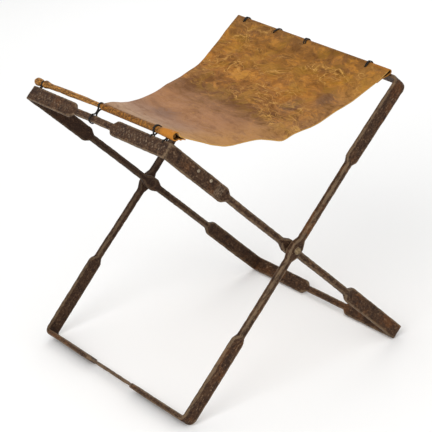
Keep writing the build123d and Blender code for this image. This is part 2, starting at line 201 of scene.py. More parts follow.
def finishMaterial(recipe, finish, sockets, heights=()):
    # the finish's bumps are the (distance, strength) of each height, the coarsest first
    bumped = {}
    for height, (distance, strength) in zip(heights, finish["bumps"]):
        inputs = {**bumped, "Height": height, "Distance": distance, "Strength": strength}
        bumped = {"Normal": recipe.node("ShaderNodeBump", {}, inputs)}
    sockets = {**sockets, **bumped, "Specular IOR Level": finish["specular"]}
    shader = recipe.node("ShaderNodeBsdfPrincipled", {}, sockets)
    recipe.node("ShaderNodeOutputMaterial", {}, {"Surface": shader})


stance = {"inner": 44.5, "outer": -45.097}  # how far each frame leans from upright, in degrees

axis = boxMiddle("pivot_rivet_front")
middleY = (boxMiddle("pivot_rivet_front").y + boxMiddle("pivot_rivet_back").y) / 2
axis.y = middleY


def frameDirections(side):
    # up along the legs, and square to them out of the frame's plane, towards the seat
    lean = radians(stance[side])
    outward = Vector((-sin(lean), 0, cos(lean)))
    up = Vector((cos(lean), 0, sin(lean))) * (1 if side == "inner" else -1)
    return outward, up


def frameReach(side):
    # how far the frame's two rails are from the pivots, along its legs
    outward, _ = frameDirections(side)
    along = [(vert.co - axis).dot(outward) for vert in frame["nodes"][f"{side}_frame"].data.vertices]
    return min(along), max(along)


ironFinish = {
    "soot": (0.019, 0.009, 0.006),
    "brown": (0.098, 0.052, 0.028),
    "rust": (0.15, 0.055, 0.016),
    "worn": (0.27, 0.19, 0.115),
    "dust": (0.27, 0.19, 0.125),
    # noises, as (scale, detail, roughness, distortion)
    "patches": (22.0, 4.0, 0.6),
    "clouds": (74.8, 5.0, 0.65, 0.4),
    "specks": (330.0, 3.0, 0.7),
    "grain": (380.0, 5.0, 0.7, 0.3),
    "grainStretch": 0.3,
    "pitScale": 260.0,
    "grainRange": (0.37, 0.63),  # where soot gives way to brown
    "railDepth": 11.0 * mm,
    "rustRange": (0.6, 0.74),
    "rustShift": 0.22,  # how far full rustiness brings that range down
    "rustCover": 0.55,
    "damp": {"inner": 0.1, "outer": 0.0},  # more rust near the floor
    "dampHeights": (0.01, 0.09),
    "rubbed": 0.5,
    "glinting": 0.55,
    "edgeGloss": 0.1,
    "edgeMetal": 0.3,
    # painted shade on the back legs: how dark, in the soot colour
    "backShadeCover": 0.65,
    "backFrom": (0.1, 0.17),  # metres behind the stool's middle
    "roughness": (0.46, 0.72),
    "specular": 0.08,
    "bumps": ((1.2 * mm, 0.5), (0.8 * mm, 0.6), (0.5 * mm, 0.8)),
}


def ironMaterial(name, finish, rustiness, side):
    material, recipe = newMaterial(name)
    place = recipe.objectPlace()
    wear = recipe.attribute("wear")
    punched = recipe.attribute("punched")
    patches, clouds, specks = (recipe.noise(place, *finish[key]) for key in ("patches", "clouds", "specks"))
    pits = recipe.node("ShaderNodeTexVoronoi", {}, {"Vector": place, "Scale": finish["pitScale"]}, "Distance")
    # the metal is drawn out along the legs, and along the rails at their ends
    outward, up = frameDirections(side)
    low, high = frameReach(side)
    fromAxis = recipe.vector("SUBTRACT", place, tuple(axis))
    along = recipe.vector("DOT_PRODUCT", fromAxis, tuple(outward), output="Value")
    rise = recipe.vector("DOT_PRODUCT", fromAxis, tuple(up), output="Value")
    across = recipe.part(fromAxis, "Y")
    depth = finish["railDepth"]
    topRail = along.ramp(high - depth, high - depth * 0.8)
    rails = topRail + along.ramp(low + depth * 0.8, low + depth, 1.0, 0.0)
    stretch = finish["grainStretch"]
    drawn = []
    for lengthwise, sideways in ((stretch, 1.0), (1.0, stretch)):
        spot = recipe.joined(along * lengthwise, across * sideways, rise)
        drawn.append(recipe.noise(spot, *finish["grain"]))
    drawn = drawn[0] * (1.0 - rails) + drawn[1] * rails
    grain = (clouds * 0.3 + specks * 0.4 + drawn * 0.3).ramp(*finish["grainRange"])
    base = recipe.mix(grain, finish["soot"], finish["brown"])
    damp = recipe.part(place, "Z").ramp(*finish["dampHeights"], finish["damp"][side], 0.0)
    rusty = patches * 0.65 + drawn * 0.35 + damp
    rusty = rusty.ramp(*(level - rustiness * finish["rustShift"] for level in finish["rustRange"]))
    base = recipe.mix(rusty * finish["rustCover"], base, finish["rust"])
    edge = wear.ramp(0.25, 0.8) * (clouds * 0.5 + drawn * 0.5).ramp(0.38, 0.56, 0.25, 1.0)
    glints = (specks * drawn).ramp(0.3, 0.4) * finish["glinting"]
    base = recipe.mix((edge * finish["rubbed"]).larger(glints), base, finish["worn"])
    hollow = wear.ramp(-0.45, -0.05, 0.35, 1.0)
    base = recipe.mix(1.0 - hollow, base, finish["soot"])
    # painted shade: the back legs are darkened with the soot colour, above the pivots most of all
    paintedBackShade = across.ramp(*finish["backFrom"]) * (1.0 - rails) * along.ramp(-0.15, 0.05, 0.4, 1.0)
    base = recipe.mix(paintedBackShade * finish["backShadeCover"], base, finish["soot"])
    base = recipe.mix(punched * specks.ramp(0.35, 0.6), base, finish["dust"])
    rough = clouds.ramp(0.3, 0.7, *finish["roughness"]) - edge * finish["edgeGloss"]
    scale = pits.ramp(0.05, 0.45) * 0.7 + specks * 0.7
    sockets = {"Base Color": base, "Roughness": rough, "Metallic": edge * finish["edgeMetal"]}
    finishMaterial(recipe, finish, sockets, (clouds, drawn, scale))
    return material


stickFinish = {
    "pale": (0.49, 0.22, 0.045),
    "dark": (0.06, 0.026, 0.009),
    "stretch": (150.0, 9.0, 150.0),
    "fibres": (4.0, 5.0, 0.65, 0.6),
    "blotches": (70.0, 4.0, 0.6),
    "grime": (260.0, 3.0, 0.6),
    "blotchCover": 0.75,
    "grimeCover": 0.8,
    "worn": 0.35,
    "roughness": (0.4, 0.62),
    "specular": 0.1,
    "bumps": ((0.7 * mm, 0.7), (0.4 * mm, 0.5)),
}


def stickMaterial(name, finish):
    material, recipe = newMaterial(name)
    place = recipe.objectPlace()
    wear = recipe.attribute("wear")
    fibres = recipe.noise(recipe.stretched(place, finish["stretch"]), *finish["fibres"])
    blotches = recipe.noise(place, *finish["blotches"])
    grime = recipe.noise(place, *finish["grime"])
    base = recipe.mix(fibres.ramp(0.36, 0.62), finish["dark"], finish["pale"])
    base = recipe.mix(grime.ramp(0.5, 0.6) * finish["grimeCover"], base, finish["dark"])
    base = recipe.mix(blotches.ramp(0.5, 0.72) * finish["blotchCover"], base, finish["dark"])
    base = recipe.mix(wear.ramp(-0.4, -0.04, 0.75, 0.0), base, finish["dark"])
    base = recipe.mix(wear.ramp(0.1, 0.7) * finish["worn"], base, finish["pale"])
    sockets = {"Base Color": base, "Roughness": blotches.ramp(0.3, 0.7, *finish["roughness"])}
    finishMaterial(recipe, finish, sockets, (fibres, grime))
    return material


leatherFinish = {
    # bands across the hide, as (metres from the stick's roll, colour); the pale pinkish bands nearest the
    # stick's roll are the hide's colour with the valley's sheen painted in
    "bandsSpan": 0.45,
    "bands": (
        (0.0, (0.3, 0.17, 0.09)), (0.03, (0.43, 0.29, 0.215)), (0.06, (0.355, 0.225, 0.17)),
        (0.09, (0.3, 0.17, 0.115)), (0.12, (0.31, 0.155, 0.08)), (0.15, (0.33, 0.162, 0.08)),
        (0.195, (0.24, 0.115, 0.052)), (0.222, (0.162, 0.068, 0.02)), (0.25, (0.17, 0.069, 0.015)),
        (0.28, (0.235, 0.095, 0.018)), (0.31, (0.31, 0.128, 0.02)), (0.34, (0.25, 0.105, 0.019)),
        (0.37, (0.275, 0.118, 0.018)), (0.4, (0.21, 0.093, 0.02)), (0.44, (0.185, 0.09, 0.03)),
    ),
    "frontBands": (
        (0.02, (0.47, 0.27, 0.128)), (0.08, (0.41, 0.218, 0.084)), (0.16, (0.37, 0.186, 0.066)),
        (0.205, (0.33, 0.173, 0.068)), (0.25, (0.25, 0.123, 0.048)), (0.3, (0.24, 0.12, 0.046)),
        (0.34, (0.31, 0.155, 0.048)), (0.38, (0.335, 0.165, 0.038)), (0.43, (0.255, 0.125, 0.034)),
    ),
    "scuff": (0.1, 0.042, 0.01),
    "gold": (0.56, 0.25, 0.035),
    "olive": (0.3, 0.165, 0.012),
    "streak": (0.17, 0.075, 0.035),
    "line": (0.6, 0.34, 0.1),
    "rollDarkAndShade": (0.07, 0.03, 0.01),
    "rollPale": (0.31, 0.135, 0.025),
    "rollEnd": (0.45, 0.175, 0.02),
    "flesh": (0.42, 0.25, 0.12),
    "warmth": (1.06, 0.98, 0.8),
    "swirls": (14.0, 3.0, 0.55),
    "swirling": 0.05,
    "drawnOut": (1.0, 0.45, 1.0),  # the pattern's scale, lower along the hide
    "wide": (11.0, 3.0, 0.55),
    "clouds": (45.0, 5.0, 0.62, 0.3),
    "mottle": (150.0, 7.0, 0.74, 0.6),
    "pores": (900.0, 2.0, 0.6),
    "fibres": (260.0, 4.0, 0.7, 0.5),
    "streaks": (70.0, 5.0, 0.65, 0.4),
    "streakStretch": (1.0, 0.22, 1.0),
    "streakCover": 0.45,
    "rodHalf": (0.16, 0.24),  # metres from the stick's roll
    "frontReach": (-0.16, -0.08),  # metres from the middle, in which the front's bands give way
    "tint": (24.0, 4.0, 0.6, 0.8),
    "tintCover": 0.32,
    "scuffCover": (0.4, 0.65),  # over the clouds and the mottle
    "goldCover": (0.28, 0.45),
    "lines": ((14.0, 0.8), (29.0, 0.8), (55.0, 0.65), (90.0, 0.45)),  # as (scale, strength)
    "lineWidth": 0.0005,
    "rollCover": {"stick": 0.9, "rod": 0.5},
    "fleshCover": 0.85,
    "cutCover": 0.7,
    "roughness": (0.4, 0.6),
    "specular": 0.04,
    "bumps": ((1.6 * mm, 0.45), (0.6 * mm, 0.6), (0.8 * mm, 0.8), (0.15 * mm, 0.5)),
    # spots on the hide, as (across, towards the back, half width, half length, colour, strength)
    "stains": (
        (0.108, -0.02, 0.03, 0.035, (0.15, 0.085, 0.07), 0.55),
        (0.285, -0.12, 0.03, 0.022, (0.11, 0.058, 0.04), 0.75),
        (0.325, -0.162, 0.038, 0.02, (0.12, 0.065, 0.045), 0.7),
        (0.37, -0.02, 0.03, 0.05, (0.13, 0.06, 0.015), 0.4),
        (0.305, 0.04, 0.016, 0.035, (0.55, 0.27, 0.05), 0.5),
        (0.24, 0.11, 0.03, 0.05, (0.17, 0.065, 0.014), 0.4),
    ),
}


def leatherMaterial(name, finish):
    material, recipe = newMaterial(name)
    flat = recipe.node("ShaderNodeUVMap", {"uv_map": "flat"}, {})  # metres on the uncut hide
    ends = recipe.node("ShaderNodeUVMap", {"uv_map": "ends"}, {})  # metres from each roll's top
    fromStick, fromRod = recipe.part(ends, "X"), recipe.part(ends, "Y")
    deep = recipe.part(flat, "Y")  # towards the back
    cut = recipe.attribute("cutEdge")
    under = recipe.attribute("fleshSide")
    hide = recipe.joined(fromStick, deep)
    swirl = recipe.wander(hide, *finish["swirls"])
    bent = recipe.vector("MULTIPLY_ADD", swirl, (finish["swirling"],) * 3, hide)
    drawn = recipe.stretched(bent, finish["drawnOut"])
    wide, clouds, mottle = (recipe.noise(drawn, *finish[key]) for key in ("wide", "clouds", "mottle"))
    pores = recipe.noise(flat, *finish["pores"])
    rodHalf = (fromStick + (wide - 0.5) * 0.1).ramp(*finish["rodHalf"])  # 0 on the half by the stick
    place = (fromStick + (wide - 0.5) * 0.05 + (clouds - 0.5) * 0.03) / finish["bandsSpan"]
    ramps = []
    for key in ("bands", "frontBands"):
        stops = [(along / finish["bandsSpan"], colour) for along, colour in finish[key]]
        ramps.append(recipe.node("ShaderNodeValToRGB", {"stops": stops}, {0: place}))
    atFront = (deep + (wide - 0.5) * 0.06 + fromStick * 0.12).ramp(*finish["frontReach"], 1.0, 0.0)
    base = recipe.mix(atFront, *ramps)
    ragged = (clouds - 0.5) * 1.2 + (mottle - 0.5) * 1.4
    for across, back, halfWidth, halfLength, colour, strength in finish["stains"]:
        off = recipe.vector("SUBTRACT", bent, (across, back, 0.0))
        off = recipe.vector("MULTIPLY", off, (1 / halfWidth, 1 / halfLength, 0.0))
        far = recipe.vector("LENGTH", off, output="Value")
        base = recipe.mix((far + ragged).ramp(0.35, 1.1, strength, 0.0), base, colour)
    # long faint streaks along the hide
    streaks = recipe.noise(recipe.stretched(bent, finish["streakStretch"]), *finish["streaks"])
    base = recipe.mix(streaks.ramp(0.5, 0.66) * finish["streakCover"], base, finish["streak"])
    # scuffs and rubbed gold, most of them on the half by the rod
    rubs = rodHalf * 0.8 + 0.2
    for kind, colour, level, limits in (
        (0, "scuff", clouds, (0.5, 0.7)),
        (0, "gold", clouds, (0.3, 0.5, 1.0, 0.0)),
        (1, "scuff", mottle * 0.7 + clouds * 0.3, (0.49, 0.62)),
        (1, "gold", mottle * 0.6 + clouds * 0.4, (0.38, 0.49, 1.0, 0.0)),
    ):
        cover = level.ramp(*limits) * rubs * finish[f"{colour}Cover"][kind]
        base = recipe.mix(cover, base, finish[colour])
    tint = recipe.noise(bent, *finish["tint"])
    base = recipe.mix(tint.ramp(0.5, 0.64) * rodHalf * finish["tintCover"], base, finish["olive"])
    # pale hair lines, in patches
    patchy = wide.ramp(0.43, 0.58) * clouds.ramp(0.38, 0.54)
    lines = 0.0
    for scale, strength in finish["lines"]:
        level = (recipe.noise(drawn, scale, 2.0, 0.4, 0.2) - 0.5).absolute()
        lines = level.ramp(0.0, finish["lineWidth"] * scale, strength, 0.0) + lines
    base = recipe.mix(lines * patchy * (rodHalf * 0.5 + 0.12), base, finish["line"])
    # the rolls are rough and worn
    fibres = recipe.noise(hide, *finish["fibres"])
    onStick = (fromStick + (fibres - 0.5) * 0.008).ramp(0.003, 0.008, 1.0, 0.0)
    roll = recipe.mix(fibres.ramp(0.4, 0.62), finish["rollDarkAndShade"], finish["rollPale"])
    roll = recipe.mix(deep.ramp(-0.17, -0.155, 0.9, 0.0), roll, finish["rollEnd"])
    base = recipe.mix(onStick * finish["rollCover"]["stick"], base, roll)
    onRod = (fromRod + (fibres - 0.5) * 0.01).ramp(0.0, 0.008, 1.0, 0.0)
    base = recipe.mix(onRod * finish["rollCover"]["rod"], base, roll)
    base = recipe.mix(1.0, base, finish["warmth"], "MULTIPLY")
    # painted shade: inside the rolls the flesh side takes the dark roll colour
    inside = recipe.mix(onStick.larger(onRod), finish["flesh"], finish["rollDarkAndShade"])
    base = recipe.mix(under * finish["fleshCover"], base, inside)
    bareCut = cut * (1.0 - onStick * 0.8) * (1.0 - onRod * 0.8)
    base = recipe.mix(bareCut * finish["cutCover"], base, finish["line"])
    rough = (clouds * 0.6 + mottle * 0.4).ramp(0.3, 0.7, *finish["roughness"])
    rough = rough + under * 0.3 + rodHalf * 0.06
    creases = lines * patchy * 0.6 + mottle * 1.2
    heights = (clouds, creases, fibres * onStick, pores)
    finishMaterial(recipe, finish, {"Base Color": base, "Roughness": rough}, heights)
    return material


wireFinish = {
    "dark": (0.006, 0.005, 0.004),
    "pale": (0.035, 0.024, 0.017),
    "scale": (500.0, 4.0, 0.6),
    "roughness": (0.4, 0.65),
    "specular": 0.2,
    "bumps": ((0.3 * mm, 0.6),),
}


def wireMaterial(name, finish):
    material, recipe = newMaterial(name)
    scale = recipe.noise(recipe.objectPlace(), *finish["scale"])
    base = recipe.mix(scale.ramp(0.4, 0.7), finish["dark"], finish["pale"])
    sockets = {"Base Color": base, "Roughness": scale.ramp(0.3, 0.7, *finish["roughness"])}
    finishMaterial(recipe, finish, sockets, (scale,))
    return material


rivetFinish = {**ironFinish, "soot": (0.1, 0.065, 0.035), "brown": (0.3, 0.215, 0.115)}
rivetFinish["worn"] = (0.75, 0.62, 0.45)
duskyFinish = {**ironFinish, "worn": ironFinish["brown"]}
studFinish = {**ironFinish, "soot": (0.13, 0.095, 0.06), "brown": (0.34, 0.27, 0.19)}
studFinish["worn"] = (0.5, 0.42, 0.32)
rodFinish = {**stickFinish, "pale": (0.2, 0.11, 0.05)}
materials = {
    "inner": ironMaterial("innerFrameIron", ironFinish, 0.25, "inner"),
    "outer": ironMaterial("outerFrameIron", ironFinish, 0.4, "outer"),
    "rivet": ironMaterial("rivetIron", rivetFinish, 0.0, "outer"),
    "dusky": ironMaterial("duskyIron", duskyFinish, 0.2, "inner"),
    "stud": ironMaterial("studMetal", studFinish, 0.0, "inner"),
    "stick": stickMaterial("stickWood", stickFinish),
    "rod": stickMaterial("rodWood", rodFinish),
    "leather": leatherMaterial("slingLeather", leatherFinish),
    "wire": wireMaterial("tieWire", wireFinish),
}
print("stage: materials")


def newGraph(name, inputs):
    tree = bpy.data.node_groups.new(name, "GeometryNodeTree")
    tree.interface.new_socket("Geometry", in_out="INPUT", socket_type="NodeSocketGeometry")
    for label, kind in inputs.items():
        tree.interface.new_socket(label, in_out="INPUT", socket_type=kind)
    tree.interface.new_socket("Geometry", in_out="OUTPUT", socket_type="NodeSocketGeometry")
    recipe = Recipe(tree)
    given = tree.nodes.new("NodeGroupInput")
    return recipe, {socket.name: Strand(recipe, socket) for socket in given.outputs if socket.name}


def closeGraph(recipe, geometry, material):
    smooth = recipe.node("GeometryNodeSetShadeSmooth", {}, {0: geometry})
    real = recipe.node("GeometryNodeRealizeInstances", {}, {0: smooth})
    done = recipe.node("GeometryNodeSetMaterial", {}, {"Geometry": real, "Material": material})
    recipe.node("NodeGroupOutput", {}, {0: done})
    return recipe.tree


surfaceShape = {
    "dentRounding": 0.6,
    "dentLevel": 0.45,
    "scaleFineness": 2.6,  # times finer than the dents
    "calmFade": 1.6,  # times the calm radius
    "calmShare": 0.15,  # of the dents, left at the pivots
    "edgeReach": 7,  # steps of the grid
    "edgeBulge": 0.5 * mm,  # what counts as a wholly worn edge
}


def forgedGraph(settings):
    # hammer dents, a wavering line, scale and punch marks, with the wear high on edges and low in hollows
    numbers = ("dentSize", "dentDepth", "waver", "waverSize", "scaleDepth", "stretch", "markDepth")
    inputs = {name: "NodeSocketFloat" for name in (*numbers, "markRadius", "calmRadius")}
    inputs.update(calmMiddle="NodeSocketVector", marks="NodeSocketObject", material="NodeSocketMaterial")
    recipe, given = newGraph("forgedSurface", inputs)
    node = recipe.node
    place = node("GeometryNodeInputPosition", {}, {})
    normal = node("GeometryNodeInputNormal", {}, {})
    away = recipe.vector("MULTIPLY", recipe.vector("SUBTRACT", place, given["calmMiddle"]), (1.0, 0.0, 1.0))
    distance = recipe.vector("LENGTH", away, output="Value")
    calm = distance.ramp(given["calmRadius"], given["calmRadius"] * settings["calmFade"])
    drawn = recipe.vector("MULTIPLY", place, recipe.joined(1.0, given["stretch"], 1.0))
    bend = recipe.scaled(recipe.wander(drawn, 1.0 / given["waverSize"], 1.0, 0.5), given["waver"] * calm)
    cells = {"Vector": drawn, "Scale": 1.0 / given["dentSize"], "Smoothness": settings["dentRounding"]}
    dents = node("ShaderNodeTexVoronoi", {"feature": "SMOOTH_F1"}, cells, "Distance") - settings["dentLevel"]
    rough = recipe.noise(drawn, settings["scaleFineness"] / given["dentSize"], 4.0, 0.6) - 0.5
    push = dents * given["dentDepth"] + rough * given["scaleDepth"]
    marks = node("GeometryNodeObjectInfo", {}, {0: given["marks"]}, "Geometry")
    near = node("GeometryNodeProximity", {"target_element": "POINTS"}, {0: marks}, "Distance")
    mark = near.ramp(0.0, given["markRadius"], 1.0, 0.0)
    push = push * (calm * (1.0 - settings["calmShare"]) + settings["calmShare"]) - mark * given["markDepth"]
    kept = recipe.moved(given["Geometry"], recipe.vector("ADD", recipe.scaled(normal, push), bend))
    # nothing goes under the floor
    sunk = (recipe.part(place, "Z") * -1.0).larger(0.0)
    kept = recipe.moved(kept, recipe.joined(z=sunk))
    sockets = {"Value": place, "Iterations": settings["edgeReach"]}
    softened = node("GeometryNodeBlurAttribute", {"data_type": "FLOAT_VECTOR"}, sockets)
    bulge = recipe.vector("DOT_PRODUCT", recipe.vector("SUBTRACT", place, softened), normal, output="Value")
    for name, value in (("wear", bulge / settings["edgeBulge"]), ("punched", mark)):
        sockets = {"Geometry": kept, "Name": name, "Value": value}
        kept = node("GeometryNodeStoreNamedAttribute", {"data_type": "FLOAT", "domain": "POINT"}, sockets)
    return closeGraph(recipe, kept, given["material"])


def placed(name, data):
    made = bpy.data.objects.new(name, data)
    bpy.context.scene.collection.objects.link(made)
    return made


def bake(piece):
    # the modifiers' result as a plain mesh
    graph = bpy.context.evaluated_depsgraph_get()
    mesh = bpy.data.meshes.new_from_object(piece.evaluated_get(graph))
    mesh.name = piece.name
    if piece.type != "MESH":
        name = piece.name
        bpy.data.objects.remove(piece)
        return placed(name, mesh)
    piece.modifiers.clear()
    piece.data = mesh
    return piece


def runGraph(piece, tree, values):
    modifier = piece.modifiers.new(tree.name, "NODES")
    modifier.node_group = tree
    for item in tree.interface.items_tree:
        if item.in_out == "INPUT" and item.name in values:
            modifier[item.identifier] = values[item.name]
    return bake(piece)


def copyOfNode(node, name):
    mesh = frame["nodes"][node].data.copy()
    mesh.materials.clear()
    work = bmesh.new()
    work.from_mesh(mesh)
    bmesh.ops.remove_doubles(work, verts=work.verts, dist=1e-6)
    work.to_mesh(mesh)
    work.free()
    return placed(name, mesh)


def modified(piece, kind, settings):
    modifier = piece.modifiers.new(kind, kind)
    for name, value in settings.items():
        setattr(modifier, name, value)
    return bake(piece)


def dress(piece, node):
    body = next(name for name, body in frame["bodies"].items() if frame["nodes"][node].parent == body)
    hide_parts(node)
    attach(piece, body)


# Forged iron

forging = {
    "voxel": 1.3 * mm,
    "dentSize": 9.0 * mm,
    "dentDepth": 0.75 * mm,
    "waver": 1.5 * mm,
    "waverSize": 95.0 * mm,
    "scaleDepth": 0.45 * mm,
    "calmRadius": 12.0 * mm,
    "markRadius": 2.5 * mm,
    "markDepth": 0.7 * mm,
    "stretch": 1.0,  # of the pattern along Y, where less draws it out
}

punching = {
    "pitch": 8.0 * mm,
    "swing": 4.2 * mm,
    "jitter": 1.6 * mm,
    "seed": 1,
    "plates": ((76.0 * mm, 193.5 * mm), (-193.5 * mm, -56.0 * mm)),
    "reach": 309.0 * mm,  # from the pivot axis to the top rail's outer face
    "cutSide": -201.5 * mm,
    "firstCut": 178.2 * mm,
    "cutPitch": 4.2 * mm,
    "cuts": 4,
    "cutHalfLength": 7.0 * mm,
    "cutSteps": 4,  # marks each way from a cut's middle
}


def markObject(name, places):
    mesh = bpy.data.meshes.new(name)
    mesh.from_pydata(places, [], [])
    return placed(name, mesh)


def punchPlaces(settings):
    # a zigzag of dents with a row inside it on the inner frame's top plates, and file cuts on its front leg
    noise.seed_set(settings["seed"])
    outward, up = frameDirections("inner")
    spots = []
    for low, high in settings["plates"]:
        count = int((high - low) / settings["pitch"])
        start = (low + high - (count - 1) * settings["pitch"]) / 2
        for i in range(2 * count - 1):
            y = start + i * settings["pitch"] / 2
            height = settings["swing"] * (-1) ** (i // 2) if i % 2 == 0 else 0.0
            shift = noise.noise_vector(Vector((i, low / mm, 0.5))) * settings["jitter"]
            spots.append((y + shift.x, settings["reach"], height + shift.y))
    for i in range(settings["cuts"]):
        along = settings["firstCut"] + i * settings["cutPitch"]
        steps = settings["cutSteps"]
        for step in range(-steps, steps + 1):
            spots.append((settings["cutSide"], along, step / steps * settings["cutHalfLength"]))
    return [axis + Vector((0, y, 0)) + outward * reach + up * height for y, reach, height in spots]


punchMarks = markObject("punchMarks", punchPlaces(punching))
noMarks = markObject("noMarks", [Vector((0, 0, -9))])  # one point, out of reach of every piece
forged = forgedGraph(surfaceShape)


def forgedPiece(node, name, material, settings, marks=noMarks, reshape=None):
    piece = modified(copyOfNode(node, name), "REMESH", {"mode": "VOXEL", "voxel_size": settings["voxel"]})
    if reshape:
        for vert in piece.data.vertices:
            vert.co = reshape(vert.co)
    values = {**settings, "calmMiddle": axis, "marks": marks, "material": material}
    piece = runGraph(piece, forged, values)
    dress(piece, node)
    return piece


for side, marks in (("inner", punchMarks), ("outer", noMarks)):
    name, slot = f"{side}ForgedFrame", f"iron_{side}"
    piece = forgedPiece(f"{side}_frame", name, materials[side], forging, marks)
    print("stage:", piece.name, len(piece.data.polygons))

smallForging = {**forging, "voxel": 0.6 * mm, "dentSize": 4.0 * mm, "dentDepth": 0.25 * mm}
smallForging.update(waver=0.0, scaleDepth=0.2 * mm, markDepth=0.0)
for end in ("front", "back"):
    for node, label, slot in (
        (f"pivot_rivet_{end}", "Rivet", "rivets"),
        (f"rivet_washer_{end}", "Washer", "washers"),
        (f"boss_spacer_{end}", "Spacer", "spacers"),
    ):
        iron = materials["rivet" if (end, label) == ("front", "Rivet") else "dusky"]
        forgedPiece(node, f"{end}{label}", iron, smallForging)
forgedPiece("plate_studs", "plateStuds", materials["stud"], smallForging)

stickCarving = {**smallForging, "voxel": 0.8 * mm, "dentSize": 14.0 * mm, "dentDepth": 0.9 * mm}
stickCarving.update(stretch=0.5, scaleDepth=0.8 * mm, waver=1.2 * mm, waverSize=60.0 * mm)
stickShape = {
    "bareFrom": middleY + 6.0 * mm,
    "droop": 3.0 * mm,
    "droopPower": 1.5,
    "leastRadius": 2.5 * mm,
    # more on the radius at distances from the knob's end, both in mm
    "swell": (
        (0.0, 0.3), (6.0, 1.2), (16.0, 0.9), (24.0, 0.2), (26.0, -0.4), (28.0, 0.3), (34.0, 1.3), (42.0, 0.9),
        (60.0, 0.5), (120.0, 0.8), (205.0, 0.3), (215.0, 0.0), (500.0, 0.0),
    ),
}
stickMiddle = boxMiddle("seat_stick")
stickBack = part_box("seat_stick")[1].y


def stickDroop(y):
    bare = stickShape["bareFrom"]
    share = max((y - bare) / (stickBack - bare), 0.0)
    return -stickShape["droop"] * share ** stickShape["droopPower"]


def swollen(point):
    # the bare part grows thicker towards the knobs and hangs a little
    off = Vector((point.x - stickMiddle.x, 0, point.z - stickMiddle.z))
    more = curveAt(stickShape["swell"], (stickBack - point.y) / mm) * mm
    share = 1 + more / max(off.length, stickShape["leastRadius"])
    return Vector((stickMiddle.x, point.y, stickMiddle.z + stickDroop(point.y))) + off * share


forgedPiece("seat_stick", "knobbedStick", materials["stick"], stickCarving, reshape=swollen)

rodLow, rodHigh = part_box("hem_rod")
rodMiddle = (rodLow + rodHigh) / 2
rodShape = {"inset": 8.0 * mm, "radius": 2.5 * mm}


def shortened(point):
    share = 1 - 2 * rodShape["inset"] / (rodHigh.y - rodLow.y)
    return rodMiddle + (point - rodMiddle) * Vector((1, share, 1))


forgedPiece("hem_rod", "hemRod", materials["rod"], smallForging, reshape=shortened)
print("stage: rivets, studs, stick and rod")

# Leather sling

sling = {
    "thickness": 1.8 * mm,
    "rows": 150,
    "stickSpan": (middleY - 197.0 * mm, middleY + 6.0 * mm),
    "rodSpan": (rodLow.y - 1.5 * mm, rodHigh.y - 4.0 * mm),
    "stickRoll": 4.7 * mm,
    "stickFlare": 1.6 * mm,  # the roll opens towards its front end
    "flareShares": (0.05, 0.24),
    "rodRoll": 5.0 * mm,
    "rodRollLift": 1.8 * mm,
    "rodRollEnd": 3.4 * mm,  # the roll is pressed flatter at its front end
    "pressedShare": 0.07,
    "stickHem": 16.0 * mm,
    "rodHem": 27.0 * mm,
    "hemGap": 2.2 * mm,
    # how far the front edge, the back edge and the middle hang under the line between the rolls, in mm, at
    # shares of the way to the rod
    "frontDrops": (
        (0.0, 0.0), (0.022, 9.2), (0.087, 22.8), (0.156, 35.8), (0.219, 44.4), (0.306, 46.9), (0.362, 50.2),
        (0.43, 59.0), (0.471, 62.6), (0.53, 56.4), (0.638, 53.0), (0.744, 40.0), (0.814, 32.4), (0.943, 11.6),
        (1.0, 0.0),
    ),
    "backDrops": (
        (0.0, 0.0), (0.06, 7.7), (0.167, 24.5), (0.333, 37.2), (0.42, 37.6), (0.5, 39.4), (0.58, 39.2),
        (0.667, 39.8), (0.75, 31.5), (0.833, 21.6), (0.89, 13.4), (0.94, 7.2), (1.0, 0.0),
    ),
    "bodyDrops": (
        (0.0, 0.0), (0.1, 24.0), (0.22, 41.5), (0.36, 52.0), (0.5, 56.0), (0.64, 52.0), (0.8, 35.0),
        (0.93, 14.0), (1.0, 0.0),
    ),
    "bodyAtFront": 0.98,  # of the middle's hang
    "bodyLoss": 0.2,  # and how much less of it at the back
    "edgeReach": 0.16,  # share of the sheet's width over which an edge's own shape fades
    "roundShares": (0.35, 0.98),  # of a roll's radius: the sheet lies on its round, then on it or above it
    "hemReach": {"stickHem": 0.8, "rodHem": 0.75},  # share of a hem over which it closes up to the sheet
    "ripple": 1.6 * mm,
    "rippleSize": 55.0 * mm,
    "fineShare": (0.3, 0.25),  # the fine ripple's size and height, as shares of the ripple's
    "rippleFade": 14,  # columns beside the rolls
    "columns": {"stickHem": 8, "stickRoll": 20, "middle": 170, "rodRoll": 20, "rodHem": 14},
    "crowding": 0.5,  # the columns stand closer near the rolls
    "holeRadius": 1.7 * mm,
}


def rodAt(y):
    share = (y - rodLow.y) / (rodHigh.y - rodLow.y)
    radius = rodShape["radius"]
    x = between(rodLow.x + radius, rodHigh.x - radius, share)
    z = between(rodLow.z + radius, rodHigh.z - radius, share)
    return Vector((x, y, z))


def stickRollRadius(settings, share):
    low, high = settings["flareShares"]
    return settings["stickRoll"] + settings["stickFlare"] * (1 - eased((share - low) / (high - low)))


def middleColumns(settings):
    # the columns at the tops of the two rolls
    count = settings["columns"]
    first = count["stickHem"] + count["stickRoll"]
    return first, first + count["middle"]


